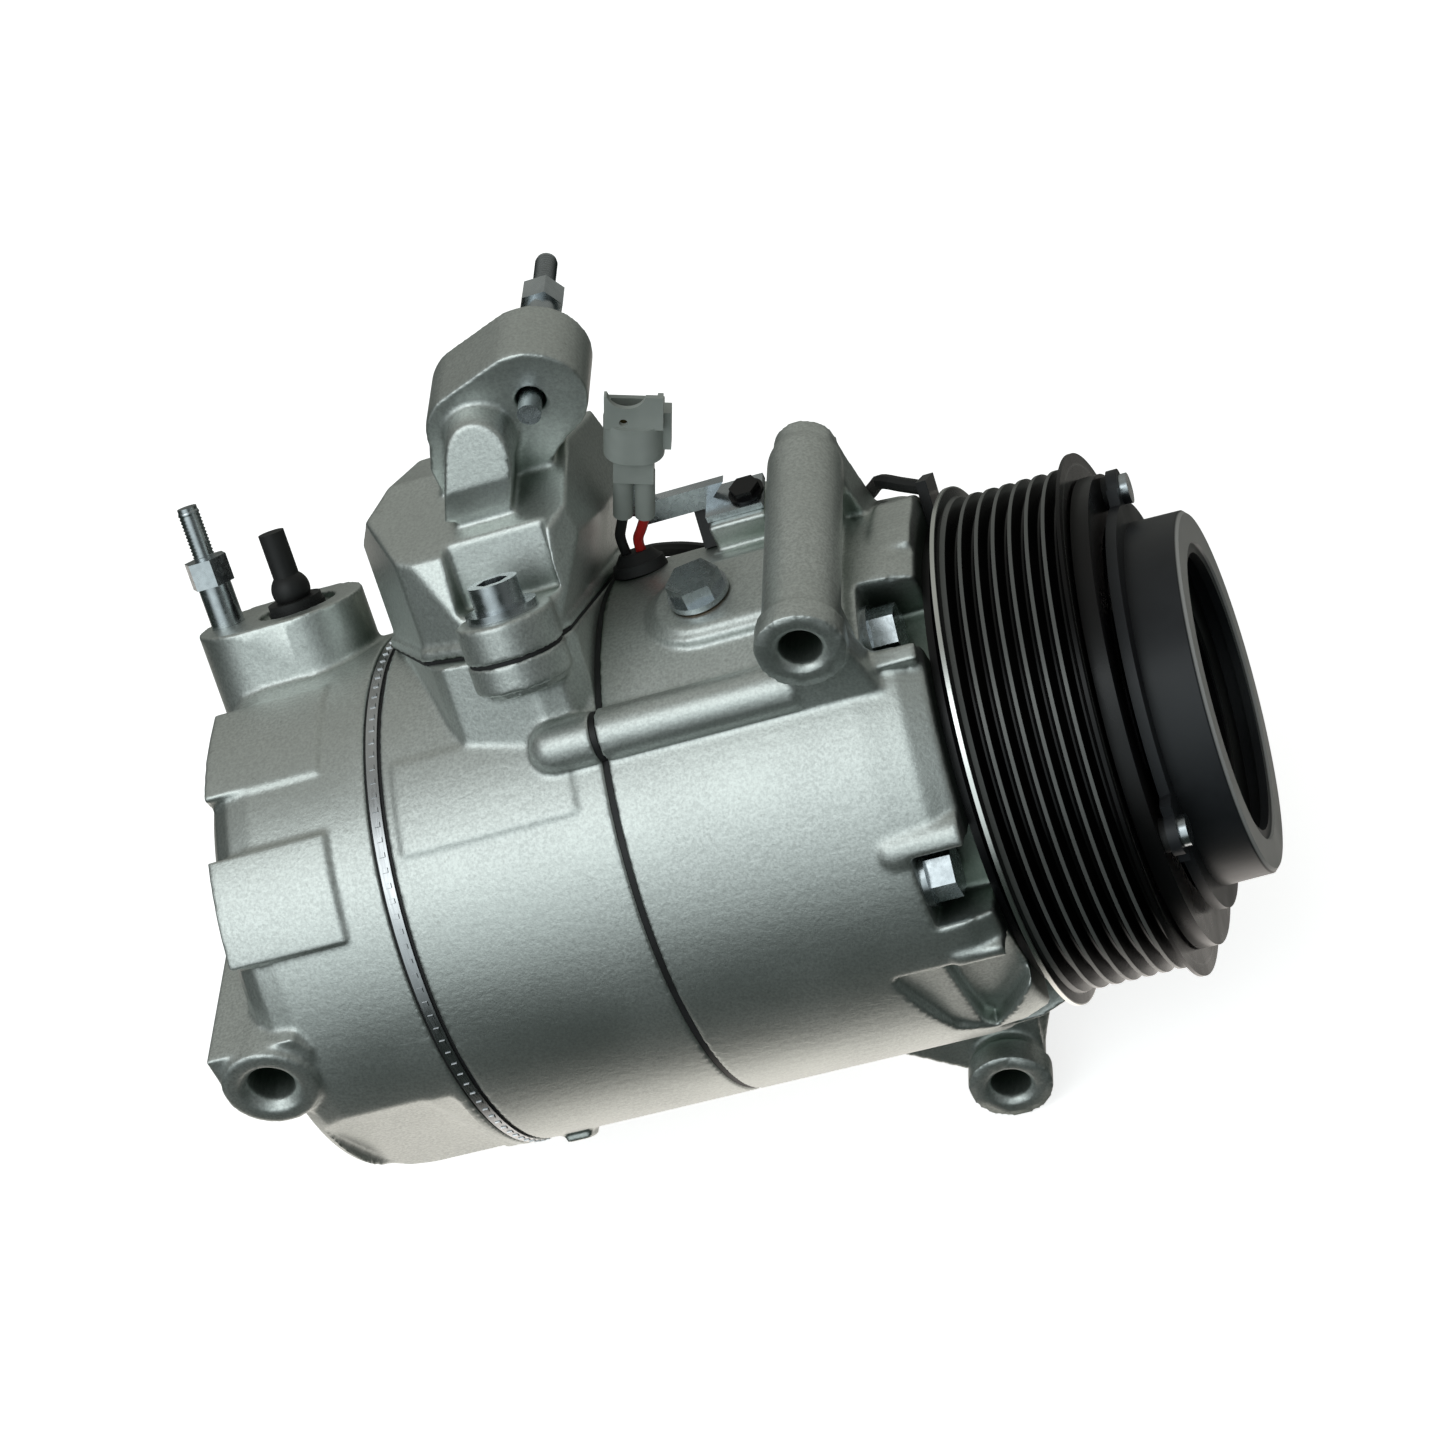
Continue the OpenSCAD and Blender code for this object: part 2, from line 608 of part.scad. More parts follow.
module connector_body() color([0.6, 0.62, 0.6]) conn_frame() difference() {
  union() {
    for (s = [-1, 1]) translate([2.3 * s, 0, 0]) cylinder(h = 12, r = 2.15);
    translate([-4.2, -3, 10.6]) cube([8.4, 6, 7]);
    // collar
    for (s = [-1, 1]) translate([1.5 * s, 0, 17]) cylinder(h = 9, r = 4.9);
    translate([-1.5, -4.9, 17]) cube([3, 9.8, 9]);
    translate([-6, -3.9, 25.5]) cube([12.2, 7.8, 8.3]);
    // latch
    translate([5.9, -1.8, 19]) cube([1.9, 3.6, 10]);
  }
  translate([-4.9, -2.8, 19.5]) cube([9.9, 5.6, 20]);
  translate([-1.4, -2, 35]) rotate([90, 0, 0]) cylinder(h = 12, r = 4.2);
  translate([-8, -2, 28.5]) cube([20, 8, 12]);
  translate([-2, 0, 27.2]) rotate([90, 0, 0]) cylinder(h = 12, r = 0.9);
  for (s = [-1, 1]) translate([2.3 * s, 0, -1]) cylinder(h = 25, r = 1.5);
}

module connector_pins() color([0.75, 0.7, 0.5]) conn_frame() for (s = [-1, 1])
  translate([2.3 * s - 0.9, -0.4, 17]) cube([1.8, 0.8, 10]);

module connector_bracket() color(zinc) difference() {
  union() {
    translate([-62, 24, 60.55]) cube([12.6, 10, 1.6]);
    translate([0, 32.4, 0]) rotate([90, 0, 0]) linear_extrude(2.2) polygon([
      [-76.3, 59.8], [-63, 59.8], [-57, 65.4], [-76.3, 65.4]
    ]);
    conn_frame() translate([-4, 5.5, -5]) cube([8, 1.6, 20]);
  }
  translate([-52.8, 28.5, 55]) cylinder(h = 12, r = 2.7);
}

module bracket_bolt() color(dark) translate([-52.8, 28.5, 0]) {
  translate([0, 0, 51.5]) cylinder(h = 11, r = 2.45);
  translate([0, 0, 62.2]) cylinder(h = 0.7, r = 3.9);
  translate([0, 0, 62.8]) cylinder(h = 1.6, r = 3.3, $fn = 6);
}

// clip standing on the barrel in direction a, round the lead at radius d
module lead_clip(a, x0, x1, d) {
  difference() {
    pbox(a, x0, x1, 8.4, barrel_r + 0.1, d + 4.2);
    pcyl(a, d, x0 - 1, x1 + 1, 2.6);
  }
}

module wire_clips() color(rubber) {
  lead_clip(-32.3, -66.3, -62.1, 63.6);
  lead_clip(-55.6, -43.6, -39.6, 60.6);
}

// ---------- shaft and swash plate ----------

module shaft() color(steel) turned([
  [0, -124], [8, -124], [8, -104], [9, -104], [9, -34], [8.5, -34], [8.5, -12], [7, -12], [7, 9.4],
  [4, 9.4], [4, 21], [0, 21]
]);

// needles between radius ri and a thin outer shell of radius ro
module needle_cage(x0, x1, ri, ro, n) {
  needle_r = (ro - 1 - ri) / 2 - 0.06;
  tube_x(x0, x1, ro, ro - 1);
  for (i = [0:n - 1]) pcyl(360 / n * i, (ri + ro - 1) / 2, x0 + 0.6, x1 - 0.6, needle_r);
}

module rear_bearing() color(steel) needle_cage(-117.5, -105, 8.03, 12.95, 12);

module thrust_washer() color(steel) tube_x(-103.9, -102.2, 16.5, 9.4);

module front_bearing() color(steel) needle_cage(-33.6, -23, 8.53, 13.95, 12);

module thrust_bearing() color(steel) tube_x(-36.9, -34.1, 24, 14.5);

module shaft_seal() color(rubber) turned([
  [8.57, -20], [12.95, -20], [12.95, -13], [11.2, -13], [11.2, -18.4], [8.57, -18.4]
]);

module seal_circlip() color(steel) difference() {
  tube_x(-12.8, -11.6, 13.5, 10.6);
  pbox(90, -13, -11, 8, 8, 14);
}

module lug_plate() color(steel) difference() {
  union() {
    xcyl(-44.2, -37.1, 38);
    xcyl(-48.5, -44, 15);
  }
  xcyl(-50, -30, 9.02);
  for (i = [0:5]) pcyl(60 * i, 27, -45, -41, 5);
}

module return_spring() color(steel) sweep([
  for (i = [0:spring_turns * spring_steps]) [
    -68.9 + 19.2 * i / (spring_turns * spring_steps),
    -11.4 * sin(360 * i / spring_steps),
    11.4 * cos(360 * i / spring_steps)
  ]
], 0.9, 8, [1, 0, 0]);

module pivot_sleeve() color(steel) difference() {
  union() {
    xcyl(plate_x - 8, plate_x + 8, 10.3);
    intersection() {
      translate([plate_x, 0, 0]) sphere(r = 12.9);
      xcyl(plate_x - 7, plate_x + 7, 14);
    }
  }
  xcyl(plate_x - 20, plate_x + 20, 9.06);
}

module swash_plate() color([0.5, 0.5, 0.48]) difference() {
  union() {
    xcyl(plate_x - plate_half, plate_x + plate_half, plate_r);
    xcyl(plate_x - 5.5, plate_x + 5.5, 17.5);
  }
  rotate([hinge_turn, 0, 0]) translate([plate_x, 0, -0.55]) sphere(r = 13.8);
  pcyl(hinge_turn, -0.55, plate_x - 20, plate_x + 20, 13);
}

module hinge_link() color(steel) rotate([hinge_turn, 0, 0]) translate([plate_x, 0, 0]) {
  for (s = [-1, 1]) translate([5.55, s * 6.6 - 2, 13.4]) cube([12, 4, 3.4]);
  translate([15.4, -9.6, 15]) rotate([-90, 0, 0]) cylinder(h = 19.2, r = 1.6);
}

module shoe() {
  base = plate_half + 0.03;
  low = asin(base / shoe_r);
  turned(concat([[0, base]], [for (i = [0:6]) let (a = low + (90 - low) * i / 6) shoe_r * [cos(a), sin(a)]]));
}

module shoes() color(steel) for (i = [0:5]) rotate([bore_start + 60 * i, 0, 0]) {
  for (turn = [0, 180]) translate([plate_x, 0, bore_pitch_r]) rotate([0, turn, 0]) shoe();
}

module piston(i) color([0.68, 0.69, 0.68]) rotate([bore_start + 60 * i, 0, 0]) difference() {
  translate([-134.9, 0, bore_pitch_r]) rotate([0, 90, 0]) cylinder(h = 70.5, r = bore_r - 0.06);
  // slot that straddles the plate rim
  xcyl(plate_x - slot_half, plate_x + slot_half, plate_r + 1);
  // waist behind the head
  translate([-108, -30, 0]) cube([20, 60, plate_r - 3]);
  // ring grooves
  translate([0, 0, bore_pitch_r]) tube_x(-131, -129.4, 20, bore_r - 1.4);
  translate([0, 0, bore_pitch_r]) tube_x(-127, -125.4, 20, bore_r - 1.4);
}

module piston_1() piston(0);
module piston_2() piston(1);
module piston_3() piston(2);
module piston_4() piston(3);
module piston_5() piston(4);
module piston_6() piston(5);

// ---------- clutch ----------

module coil_shell() color(dark) difference() {
  union() {
    xcyl(-17.95, -16.4, 50.5);
    xcyl(-17, 7.6, 46.6);
    // outlet of the lead
    pbox(-30, -17.9, -15.6, 10, 48, 60.4);
  }
  xcyl(-16.4, 10, 34.6);
  xcyl(-20, 10, 20.05);
  tube_x(-15, 10, 45, 36.4);
}

module coil_winding() color([0.5, 0.25, 0.1]) tube_x(-14.6, 6.6, 44.7, 36.8);

module coil_circlip() color(steel) difference() {
  tube_x(-16.35, -15.15, 24, 19.3);
  pbox(180, -17, -15, 10, 15, 40);
}

module pulley() color(dark) difference() {
  union() {
    turned(concat(
      [[47.3, -14.2], [flange_r, -14.2], [flange_r, -13.3], [rib_tip_r + 0.3, -12.9]],
      [for (k = [0:6]) each [
        [rib_tip_r, -11.9 + groove_pitch * k],
        [rib_tip_r - groove_depth, -10.7 + groove_pitch * k],
        [rib_tip_r - groove_depth, -10.3 + groove_pitch * k],
        [rib_tip_r, -9.1 + groove_pitch * k]
      ]],
      [[rib_tip_r, 12.4], [flange_r, 12.7], [flange_r, 13.5], [47.3, 13.5]]
    ));
    tube_x(8.6, 13.5, 48, 34);
    tube_x(-12.5, 13.5, 34.01, 31.02);
    tube_x(-12.5, -11, 33, 29.6);
  }
  // flux slots
  for (i = [0:5]) {
    intersection() {
      tube_x(8, 14, 44.5, 42);
      wedge(60 * i + 6, 60 * i + 54, 8, 14, 50);
    }
    intersection() {
      tube_x(8, 14, 39, 37);
      wedge(60 * i + 36, 60 * i + 84, 8, 14, 50);
    }
  }
}

module pulley_bearing() color(steel) {
  tube_x(-10.9, 6.5, 31, 28.4);
  tube_x(-10.9, 6.5, 22.8, 20.03);
  for (i = [0:13], x = [-6.4, 2]) rotate([360 / 14 * i, 0, 0]) translate([x, 0, 25.6]) sphere(r = 2.75);
  tube_x(-10.6, -10.1, 28.35, 22.85);
  tube_x(5.7, 6.2, 28.35, 22.85);
}

module bearing_circlip() color(steel) difference() {
  tube_x(6.65, 7.75, 22.6, 19.1);
  pbox(180, 6, 8, 8, 15, 30);
}

// the three ears of the driven side stand at these directions
module at_ears() {
  for (i = [0:2]) rotate([ear_start + 120 * i, 0, 0]) children();
}

module armature_plate() color(dark) difference() {
  tube_x(13.5 + air_gap, 17.8, 51, 24);
  for (i = [0:2]) intersection() {
    tube_x(10, 20, 41, 38);
    wedge(120 * i - 30, 120 * i + 66, 10, 20, 50);
  }
  at_ears() translate([10, 0, ear_pitch_r]) rotate([0, 90, 0]) cylinder(h = 10, r = 2.6);
}

module clutch_hub() color(dark) turned([
  [7.03, -2], [12.4, -2], [12.4, 10], [19, 10], [19, 13], [22, 15], [22, 27], [19.5, 27], [19.5, 22],
  [10, 22], [10, 16], [4.1, 16], [4.1, 9.45], [7.03, 9.45]
]);

module hub_damper() color(rubber) {
  tube_x(21.7, 27.4, 34.55, 22.05);
  at_ears() translate([17.85, 0, ear_pitch_r]) rotate([0, 90, 0]) difference() {
    cylinder(h = 1.4, r = 3.6);
    translate([0, 0, -1]) cylinder(h = 4, r = 2.1);
  }
}

module clutch_cup() color(dark) difference() {
  union() {
    turned([
      [24, 19.3], [44, 19.3], [44, 21.6], [39.4, 21.8], [39.2, 32.2], [cup_r - 0.6, cup_front_x],
      [32.2, cup_front_x], [32, 32.4], [cup_open_r, 32.4], [cup_open_r, 30.6], [34.6, 30.4],
      [34.6, 21.6], [24, 21.6]
    ]);
    at_ears() translate([19.3, -7, 40]) cube([2.3, 14, 7]);
    at_ears() translate([19.3, 0, ear_pitch_r]) rotate([0, 90, 0]) cylinder(h = 2.3, r = 4.6);
  }
  at_ears() translate([19, 0, ear_pitch_r]) rotate([0, 90, 0]) cylinder(h = 4, r = 2.1);
}

module ear_rivets() color(zinc) at_ears() translate([0, 0, ear_pitch_r]) rotate([0, 90, 0]) {
  translate([0, 0, 14.6]) cylinder(h = 8, r = 2.05);
  translate([0, 0, 21.62]) cylinder(h = 1.7, r = 3.3);
}

module hub_nut() color(zinc) difference() {
  union() {
    xcyl(16.02, 17.2, 8.6);
    phex(0, 0, 17.1, 23, 7);
  }
  xcyl(10, 30, 4.06);
}

// ---------- drawing ----------

rear_head();
head_gasket();
reed_retainer();
discharge_reeds();
valve_plate();
suction_reeds();
block_gasket();
cylinder_block();
housing_seal();
front_housing();
through_bolts();
control_valve();
relief_valve();
oil_plug();
oil_plug_washer();
discharge_tower();
tower_gasket();
tower_bolts();
port_studs();
rear_port_plug();
lead_boot();
coil_lead();
wire_black();
wire_red();
connector_body();
connector_pins();
connector_bracket();
bracket_bolt();
wire_clips();
shaft();
rear_bearing();
thrust_washer();
front_bearing();
thrust_bearing();
shaft_seal();
seal_circlip();
lug_plate();
return_spring();
pivot_sleeve();
swash_plate();
hinge_link();
shoes();
piston_1();
piston_2();
piston_3();
piston_4();
piston_5();
piston_6();
coil_shell();
coil_winding();
coil_circlip();
pulley();
pulley_bearing();
bearing_circlip();
armature_plate();
clutch_hub();
hub_damper();
clutch_cup();
ear_rivets();
hub_nut();
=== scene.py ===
"""Looks of an automotive air conditioning compressor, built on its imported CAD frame."""
import json
import math

import bmesh
import bpy
import numpy as np
from mathutils import Matrix, Vector


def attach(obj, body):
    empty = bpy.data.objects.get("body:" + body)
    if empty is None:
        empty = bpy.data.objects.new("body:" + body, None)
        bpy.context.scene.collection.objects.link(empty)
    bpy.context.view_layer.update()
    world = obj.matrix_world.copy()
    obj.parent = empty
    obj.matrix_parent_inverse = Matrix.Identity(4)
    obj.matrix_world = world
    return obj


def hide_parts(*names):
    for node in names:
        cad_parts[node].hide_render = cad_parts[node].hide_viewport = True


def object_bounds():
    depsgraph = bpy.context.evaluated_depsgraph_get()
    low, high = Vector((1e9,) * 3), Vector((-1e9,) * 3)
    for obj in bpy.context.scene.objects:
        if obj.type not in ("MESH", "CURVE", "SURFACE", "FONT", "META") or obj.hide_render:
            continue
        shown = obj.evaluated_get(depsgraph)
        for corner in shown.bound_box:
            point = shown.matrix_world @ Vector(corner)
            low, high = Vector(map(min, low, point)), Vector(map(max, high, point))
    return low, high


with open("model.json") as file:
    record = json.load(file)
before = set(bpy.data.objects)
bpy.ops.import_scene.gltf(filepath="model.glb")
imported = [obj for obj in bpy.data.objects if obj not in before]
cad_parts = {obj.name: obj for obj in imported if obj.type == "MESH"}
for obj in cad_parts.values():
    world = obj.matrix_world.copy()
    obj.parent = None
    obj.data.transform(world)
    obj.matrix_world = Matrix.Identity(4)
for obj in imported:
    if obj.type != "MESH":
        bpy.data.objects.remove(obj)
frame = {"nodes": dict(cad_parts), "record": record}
cad_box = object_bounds()
nodes = frame["nodes"]
scene = bpy.context.scene


# ---------------------------------------------------------------- materials
# fine skin and broad patches of painted, moulded and rubber surfaces
SKIN_SCALE = 900
SKIN_BUMP = 0.1
SKIN_DEPTH = 0.0001
PATCH_SCALE = 45


class Finish:
    """A procedural material; colours, roughness and bump vary in object space."""

    def __init__(self, name, metallic=0.0, **fixed):
        self.material = bpy.data.materials.new(name)
        self.material.use_nodes = True
        self.tree = self.material.node_tree
        self.shader = self.tree.nodes["Principled BSDF"]
        self.shader.inputs["Metallic"].default_value = metallic
        for key, value in fixed.items():
            self.shader.inputs[key.replace("_", " ")].default_value = value
        self.place = self.add("ShaderNodeTexCoord").outputs["Object"]

    def add(self, kind, **settings):
        node = self.tree.nodes.new(kind)
        for key, value in settings.items():
            setattr(node, key, value)
        return node

    def link(self, a, b):
        self.tree.links.new(a, b)

    def noise(self, scale, detail=3.0, roughness=0.55, stretch=(1, 1, 1), shift=0.0):
        at = self.add("ShaderNodeMapping")
        at.inputs["Scale"].default_value = stretch
        at.inputs["Location"].default_value = (shift, shift, shift)
        tex = self.add("ShaderNodeTexNoise")
        tex.inputs["Scale"].default_value = scale
        tex.inputs["Detail"].default_value = detail
        tex.inputs["Roughness"].default_value = roughness
        self.link(self.place, at.inputs["Vector"])
        self.link(at.outputs[0], tex.inputs["Vector"])
        return tex.outputs["Fac"]

    def spread(self, value, low, high, to_low=0.0, to_high=1.0):
        node = self.add("ShaderNodeMapRange", interpolation_type="SMOOTHSTEP")
        for key, number in zip(
            ("From Min", "From Max", "To Min", "To Max"), (low, high, to_low, to_high)
        ):
            node.inputs[key].default_value = number
        self.link(value, node.inputs["Value"])
        return node.outputs["Result"]

    def blend(self, share, a, b, mode="MIX"):
        node = self.add("ShaderNodeMix", data_type="RGBA", blend_type=mode)
        pins = [s for s in node.inputs if s.enabled]
        for pin, value in zip(pins, (share, a, b)):
            if isinstance(value, bpy.types.NodeSocket):
                self.link(value, pin)
            elif isinstance(value, tuple):
                pin.default_value = (*value, 1.0)
            else:
                pin.default_value = value
        return [s for s in node.outputs if s.enabled][0]

    def colour(self, value):
        self.link(value, self.shader.inputs["Base Color"])

    def roughness(self, value):
        self.link(value, self.shader.inputs["Roughness"])

    def bump(self, *layers):
        """Each layer is (height, strength, distance in metres)."""
        normal = None
        for height, strength, distance in layers:
            node = self.add("ShaderNodeBump")
            node.inputs["Strength"].default_value = strength
            node.inputs["Distance"].default_value = distance
            self.link(height, node.inputs["Height"])
            if normal is not None:
                self.link(normal, node.inputs["Normal"])
            normal = node.outputs["Normal"]
        self.link(normal, self.shader.inputs["Normal"])

    def station(self):
        """Object-space x, and the distance from the shaft axis."""
        parts = self.add("ShaderNodeSeparateXYZ")
        self.link(self.place, parts.inputs[0])
        flat = self.add("ShaderNodeCombineXYZ")
        self.link(parts.outputs["Y"], flat.inputs["Y"])
        self.link(parts.outputs["Z"], flat.inputs["Z"])
        size = self.add("ShaderNodeVectorMath", operation="LENGTH")
        self.link(flat.outputs[0], size.inputs[0])
        return parts.outputs["X"], size.outputs["Value"]

    def product(self, a, b):
        node = self.add("ShaderNodeMath", operation="MULTIPLY")
        self.link(a, node.inputs[0])
        self.link(b, node.inputs[1])
        return node.outputs[0]

    def pocket_shade(self, distance, low=0.25, high=0.85):
        """Share that is 1 in the open and 0 deep in a pocket, from ambient occlusion; it paints shade into
        pockets.
        """
        node = self.add("ShaderNodeAmbientOcclusion", samples=8)
        node.inputs["Distance"].default_value = distance
        return self.spread(node.outputs["AO"], low, high)

    def edges(self, low=0.52, high=0.6):
        """Share that is 1 on sharp outer edges; it paints a highlight along them."""
        geo = self.add("ShaderNodeNewGeometry")
        return self.spread(geo.outputs["Pointiness"], low, high)


def cast_finish():
    f = Finish("sand_cast_aluminium", metallic=0.96)
    patch = f.noise(22, 3)
    grain = f.noise(1500, 2, 0.7)
    pits = f.noise(520, 3, 0.6, shift=3.1)
    base = f.blend(f.spread(patch, 0.3, 0.7), (0.66, 0.695, 0.665), (0.78, 0.81, 0.785))
    base = f.blend(f.spread(grain, 0.25, 0.75), (0.54, 0.565, 0.545), base)
    base = f.blend(f.spread(pits, 0.66, 0.74, 0, 0.35), base, (0.35, 0.36, 0.34))
    # painted highlight: sharp outer edges lightened towards near white
    base = f.blend(f.spread(f.edges(0.53, 0.62), 0, 1, 0, 0.7), base, (0.93, 0.95, 0.94))
    # painted shade: pockets darkened to a dark green where ambient occlusion is deep
    base = f.blend(f.pocket_shade(0.014, 0.1, 0.65), (0.17, 0.22, 0.18), base)
    f.colour(base)
    f.roughness(f.spread(patch, 0.3, 0.7, 0.42, 0.5))
    f.bump((grain, 0.35, 0.00012), (pits, 0.3, 0.0002))
    return f.material


def metal_finish(name, dark, light, rough, grain=(400, 400, 400), bump=0.12):
    """Machined or plated metal; grain is the stretch of its fine tool marks."""
    f = Finish(name, metallic=1.0)
    marks = f.noise(1.0, 2, 0.6, stretch=grain)
    patch = f.noise(60, 3)
    base = f.blend(f.spread(patch, 0.3, 0.7), dark, light)
    base = f.blend(f.spread(marks, 0.3, 0.7, 0, 0.25), base, dark)
    f.colour(base)
    f.roughness(f.spread(marks, 0.25, 0.75, rough[0], rough[1]))
    f.bump((marks, bump, 0.00006))
    return f.material


def paint_finish(name, dark, light, rough, **fixed):
    """Paint, rubber or moulded plastic with a fine skin texture."""
    f = Finish(name, **fixed)
    skin = f.noise(SKIN_SCALE, 3, 0.6)
    patch = f.noise(PATCH_SCALE, 4)
    f.colour(f.blend(f.spread(patch, 0.3, 0.72), dark, light))
    f.roughness(f.spread(patch, 0.3, 0.7, rough[0], rough[1]))
    f.bump((skin, SKIN_BUMP, SKIN_DEPTH))
    return f.material


def banded_coat(name, dark, light, rough, bright, masks, metal=True, **fixed):
    """Black coat with a bright colour where a mask is 1; used for painted highlights and for a bright metal
    edge band.
    """
    f = Finish(name, **fixed)
    skin = f.noise(SKIN_SCALE, 3, 0.6)
    patch = f.noise(PATCH_SCALE, 4)
    x, r = f.station()
    share = None
    for kind, low, high, top, gate in masks:
        mask = f.spread(x if kind == "x" else r, low, high, 0, top)
        if gate:
            mask = f.product(mask, f.spread(x if gate[0] == "x" else r, gate[1], gate[2]))
        if share is None:
            share = mask
        else:
            node = f.add("ShaderNodeMath", operation="MAXIMUM")
            f.link(share, node.inputs[0])
            f.link(mask, node.inputs[1])
            share = node.outputs[0]
    f.colour(f.blend(share, f.blend(f.spread(patch, 0.3, 0.72), dark, light), bright))
    if metal:
        f.link(share, f.shader.inputs["Metallic"])
    f.roughness(f.spread(patch, 0.3, 0.7, rough[0], rough[1]))
    f.bump((skin, SKIN_BUMP, SKIN_DEPTH))
    return f.material


CAST = cast_finish()
LOOKS = {
    "cast_aluminium": CAST,
    "machined_aluminium": metal_finish(
        "turned_aluminium", (0.55, 0.56, 0.56), (0.72, 0.73, 0.73), (0.25, 0.4),
    ),
    "machined_steel": metal_finish(
        "ground_steel", (0.42, 0.43, 0.44), (0.58, 0.59, 0.6), (0.2, 0.35), (2500, 200, 200),
    ),
    "cast_iron": paint_finish(
        "machined_iron", (0.16, 0.16, 0.165), (0.26, 0.26, 0.265), (0.4, 0.55), Metallic=0.8,
    ),
    "spring_steel": metal_finish("blued_steel", (0.22, 0.23, 0.27), (0.36, 0.37, 0.41), (0.25, 0.4)),
    "gasket": paint_finish("coated_gasket", (0.008, 0.008, 0.008), (0.02, 0.02, 0.021), (0.5, 0.7)),
    "zinc": metal_finish(
        "bright_zinc", (0.4, 0.43, 0.45), (0.58, 0.62, 0.64), (0.18, 0.32), (700, 700, 700), bump=0.15,
    ),
    "brass": metal_finish("turned_brass", (0.5, 0.38, 0.16), (0.68, 0.53, 0.27), (0.2, 0.35)),
    "copper": metal_finish("soft_copper", (0.5, 0.24, 0.13), (0.7, 0.4, 0.25), (0.3, 0.45)),
    "winding": paint_finish("potted_winding", (0.2, 0.07, 0.02), (0.42, 0.18, 0.07), (0.25, 0.4)),
    "black_rubber": paint_finish("black_rubber", (0.008, 0.008, 0.008), (0.022, 0.022, 0.022), (0.5, 0.7)),
    "red_insulation": paint_finish("red_insulation", (0.5, 0.012, 0.012), (0.7, 0.03, 0.025), (0.3, 0.42)),
    "grey_plastic": paint_finish("grey_nylon", (0.33, 0.355, 0.33), (0.46, 0.485, 0.455), (0.38, 0.5)),
    "black_plastic": paint_finish("black_nylon", (0.01, 0.01, 0.01), (0.025, 0.025, 0.025), (0.4, 0.55)),
    "black_steel": paint_finish(
        "satin_black_coat", (0.003, 0.003, 0.004), (0.009, 0.008, 0.008), (0.24, 0.36),
        Specular_IOR_Level=0.3,
    ),
    "dark_steel": paint_finish(
        "dark_grey_coat", (0.018, 0.019, 0.022), (0.03, 0.032, 0.036), (0.36, 0.48), Specular_IOR_Level=0.35,
    ),
}

NODE_LOOKS = {
    "pulley": banded_coat(
        "pulley_coat_bright_edge_and_painted_highlights", (0.002, 0.002, 0.0022), (0.005, 0.0045, 0.0045), (0.2, 0.3), (0.72, 0.73, 0.7),
        [
            # bright metal band on the rear flange edge
            ("r", 0.05630, 0.05655, 1.0, ("x", -0.011, -0.0125)),
            # painted highlight: a faint bright band on the rib tips
            ("r", 0.05392, 0.05406, 0.2, ("r", 0.0546, 0.0543)),
        ],
        Specular_IOR_Level=0.22,
    ),
    "clutch_cup": banded_coat(
        "cup_coat_painted_rim_highlight", (0.018, 0.019, 0.022), (0.03, 0.032, 0.036), (0.34, 0.46), (0.6, 0.59, 0.58),
        # painted highlight: light grey band on the rim face
        [("x", 0.03235, 0.0327, 0.9, None)],
        metal=False, Specular_IOR_Level=0.35,
    ),
}

slot_of = {s["node"]: s["material_slot"] for s in frame["record"]["subparts"]}
for name, node in nodes.items():
    node.data.materials.clear()
    node.data.materials.append(NODE_LOOKS.get(name, LOOKS[slot_of[name]]))


# ---------------------------------------------------------------- castings
PORT = math.radians(-26)
PORT_AXIS = (0, -math.sin(PORT), math.cos(PORT))


def ramp(x, low, high):
    t = np.clip((x - low) / (high - low), 0, 1)
    return t * t * (3 - 2 * t)


def radius(co):
    return np.hypot(co[:, 1], co[:, 2])


def bore_distance(co, centre, axis):
    """Distance from an endless line."""
    axis = np.array(axis, float)
    axis /= np.linalg.norm(axis)
    rel = co - np.array(centre, float)
    return np.linalg.norm(rel - np.outer(rel @ axis, axis), axis=1)


def near_plane(co, height):
    """1 beside the tower's flange plane."""
    return ramp(np.abs(co @ np.array(PORT_AXIS) - height), 0.0014, 0.0006)


def soft_casting(node, crisp, voxel=0.0006, rounds=4, share=0.3):
    """A copy of a cast node with the soft edges of sand casting; crisp(co) is 1 on machined faces."""
    mesh = nodes[node].data.copy()
    piece = bpy.data.objects.new(node + "_casting", mesh)
    scene.collection.objects.link(piece)
    bm = bmesh.new()
    bm.from_mesh(mesh)
    bmesh.ops.remove_doubles(bm, verts=bm.verts, dist=2e-6)
    bm.to_mesh(mesh)
    bm.free()
    remesh = piece.modifiers.new("remesh", "REMESH")
    remesh.mode = "VOXEL"
    remesh.voxel_size = voxel
    remesh.adaptivity = 0
    apply_modifiers(piece)
    mesh = piece.data
    count = len(mesh.vertices)
    co = np.empty(count * 3)
    mesh.vertices.foreach_get("co", co)
    co = co.reshape(-1, 3)
    edges = np.empty(len(mesh.edges) * 2, np.int64)
    mesh.edges.foreach_get("vertices", edges)
    a, b = edges.reshape(-1, 2).T
    degree = np.bincount(a, minlength=count) + np.bincount(b, minlength=count)
    free = (0.5 * (1 - crisp(co)))[:, None]
    for _ in range(rounds):
        total = np.empty_like(co)
        for k in range(3):
            total[:, k] = np.bincount(a, co[b, k], count) + np.bincount(b, co[a, k], count)
        co = co + free * (total / degree[:, None] - co)
    mesh.vertices.foreach_set("co", co.ravel())
    mesh.update()
    thin = piece.modifiers.new("thin", "DECIMATE")
    thin.ratio = share
    apply_modifiers(piece)
    piece.data.shade_smooth()
    piece.data.materials.clear()
    piece.data.materials.append(CAST)
    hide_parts(node)
    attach(piece, "housing")
    return piece


def apply_modifiers(piece):
    graph = bpy.context.evaluated_depsgraph_get()
    made = bpy.data.meshes.new_from_object(piece.evaluated_get(graph))
    piece.modifiers.clear()
    piece.data = made


LUGS = [(-0.038, 0, 0.0666), (-0.038, 0, -0.0666)]


